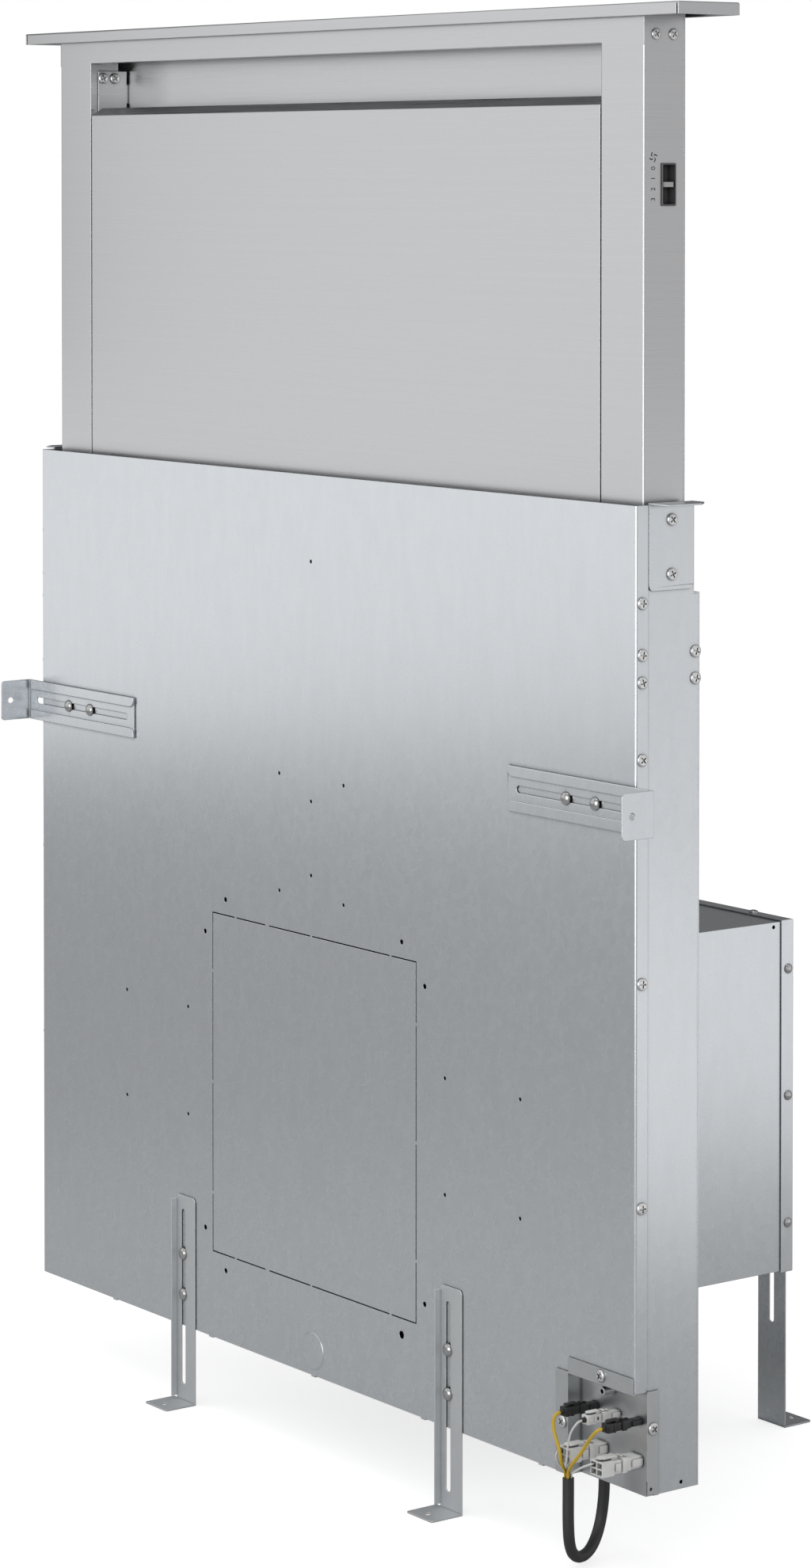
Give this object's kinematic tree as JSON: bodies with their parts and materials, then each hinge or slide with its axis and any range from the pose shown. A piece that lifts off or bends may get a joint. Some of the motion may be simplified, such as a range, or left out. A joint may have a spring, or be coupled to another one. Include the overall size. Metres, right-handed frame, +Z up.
{
  "type": "downdraft vent",
  "caption": "Telescopic downdraft vent: a flat sheet housing with legs and brackets, a rising inlet column with cap and speed switch, and a rear blower box.",
  "frame": {"origin": "middle of the footprint's bounding box, on the floor under the feet", "axes": "+X to the right seen from the front, +Y to the rear, +Z up"},
  "size_m": [0.762, 0.353, 0.9857],
  "materials": {
    "galvanised": "galvanised sheet with a fine spangle",
    "stainless": "brushed stainless steel",
    "plated_steel": "bright zinc plate",
    "filter_aluminium": "aluminium mesh cassette",
    "flap_aluminium": "plain aluminium sheet",
    "black_plastic": "moulded black",
    "white_plastic": "moulded natural white",
    "nylon": "natural nylon",
    "motor_paint": "black paint",
    "belt_rubber": "black rubber",
    "sleeve_black": "matt dark sleeve",
    "wire_yellow": "yellow insulation",
    "wire_white": "white insulation",
    "knob_metal": "bright metal",
    "magnet": "dark ferrite"
  },
  "bodies": {
    "housing": {"front_cover": "galvanised", "side_panel_right": "galvanised", "side_panel_left": "galvanised", "rear_panel": "galvanised", "bottom_panel": "galvanised", "wiring_box": "galvanised", "counter_brackets": "galvanised", "upper_guides": "nylon", "spindle_bearings": "nylon", "spindle_foot": "nylon", "lift_motor": "motor_paint", "drive_belt": "belt_rubber", "control_box": "galvanised", "cable_grommet": "black_plastic", "panel_sockets_black": "black_plastic", "panel_sockets_white": "white_plastic", "blower_box": "galvanised", "blower_rear_cover": "galvanised", "scroll_wall": "galvanised", "scroll_front": "galvanised", "scroll_back": "galvanised", "inlet_ring": "galvanised", "outlet_plate": "galvanised", "fan_motor": "motor_paint", "duct_collar": "galvanised", "damper_pin": "plated_steel", "cover_screws": "plated_steel", "slider_bolts": "plated_steel", "blower_screws": "plated_steel", "cable_sleeve": "sleeve_black", "wires_yellow": "wire_yellow", "wires_white": "wire_white", "plugs_black": "black_plastic", "plugs_white": "white_plastic"},
    "riser": {"riser_frame": "stainless", "riser_back": "stainless", "cap": "stainless", "inner_walls": "stainless", "corner_brackets": "stainless", "spindle_nuts": "nylon", "glide_shoes": "nylon", "filter_rails": "filter_aluminium", "grease_filters": "filter_aluminium", "cover_magnets": "magnet", "switch_body": "black_plastic", "riser_screws": "plated_steel"},
    "filter_door": {"filter_cover": "stainless", "cover_pins": "plated_steel"},
    "speed_slider": {"speed_knob": "knob_metal"},
    "spindle_right_body": {"spindle_right": "plated_steel"},
    "spindle_left_body": {"spindle_left": "plated_steel"},
    "fan_wheel": {"impeller": "galvanised"},
    "flap_front": {"damper_flap_front": "flap_aluminium"},
    "flap_rear": {"damper_flap_rear": "flap_aluminium"},
    "bracket_right": {"wall_bracket_right": "galvanised"},
    "bracket_left": {"wall_bracket_left": "galvanised"},
    "leg_front_right": {"front_leg_right": "galvanised"},
    "leg_front_left": {"front_leg_left": "galvanised"},
    "leg_rear_right": {"rear_leg_right": "galvanised"},
    "leg_rear_left": {"rear_leg_left": "galvanised"}
  },
  "joints": [
    {"name": "riser_lift", "type": "slide", "parent": "housing", "child": "riser", "axis": [0, 0, 1], "range_m": [-0.3018, 0]},
    {"name": "cover_tilt", "type": "hinge", "parent": "riser", "child": "filter_door", "pos_m": [0, -0.1355, 0.6706], "axis": [1, 0, 0], "range_deg": [0, 22]},
    {"name": "speed_slide", "type": "slide", "parent": "riser", "child": "speed_slider", "axis": [0, 0, 1], "range_m": [-0.0092, 0.0101]},
    {"name": "spindle_right_turn", "type": "hinge", "parent": "housing", "child": "spindle_right_body", "pos_m": [0.314, -0.1215, 0.0546], "axis": [0, 0, 1], "range_deg": [-5440, 10]},
    {"name": "spindle_left_turn", "type": "hinge", "parent": "housing", "child": "spindle_left_body", "pos_m": [-0.314, -0.1215, 0.0546], "axis": [0, 0, 1], "range_deg": [-5440, 10]},
    {"name": "fan_spin", "type": "hinge", "parent": "housing", "child": "fan_wheel", "pos_m": [-0.022, -0.0185, 0.2366], "axis": [0, 1, 0], "continuous": true},
    {"name": "flap_front_drop", "type": "hinge", "parent": "housing", "child": "flap_front", "pos_m": [0.047, -0.0085, 0.0946], "axis": [1, 0, 0], "range_deg": [0, 78], "stiffness_Nm_per_rad": 0.006, "springref_deg": -103.13},
    {"name": "flap_rear_drop", "type": "hinge", "parent": "housing", "child": "flap_rear", "pos_m": [0.047, -0.0085, 0.0946], "axis": [-1, 0, 0], "range_deg": [0, 78], "stiffness_Nm_per_rad": 0.006, "springref_deg": -103.13},
    {"name": "bracket_right_slide", "type": "slide", "parent": "housing", "child": "bracket_right", "axis": [1, 0, 0], "range_m": [-0.0425, 0.0483]},
    {"name": "bracket_left_slide", "type": "slide", "parent": "housing", "child": "bracket_left", "axis": [-1, 0, 0], "range_m": [-0.0425, 0.0483]},
    {"name": "leg_front_right_slide", "type": "slide", "parent": "housing", "child": "leg_front_right", "axis": [0, 0, 1], "range_m": [-0.0295, 0.0624]},
    {"name": "leg_front_left_slide", "type": "slide", "parent": "housing", "child": "leg_front_left", "axis": [0, 0, 1], "range_m": [-0.0295, 0.0624]},
    {"name": "leg_rear_right_slide", "type": "slide", "parent": "housing", "child": "leg_rear_right", "axis": [0, 0, 1], "range_m": [-0.04, 0.0521]},
    {"name": "leg_rear_left_slide", "type": "slide", "parent": "housing", "child": "leg_rear_left", "axis": [0, 0, 1], "range_m": [-0.04, 0.0521]}
  ],
  "couplings": [
    {"joint": "spindle_right_turn", "follows": "riser_lift", "rad_per_m": 314.16},
    {"joint": "spindle_left_turn", "follows": "riser_lift", "rad_per_m": 314.16}
  ]
}
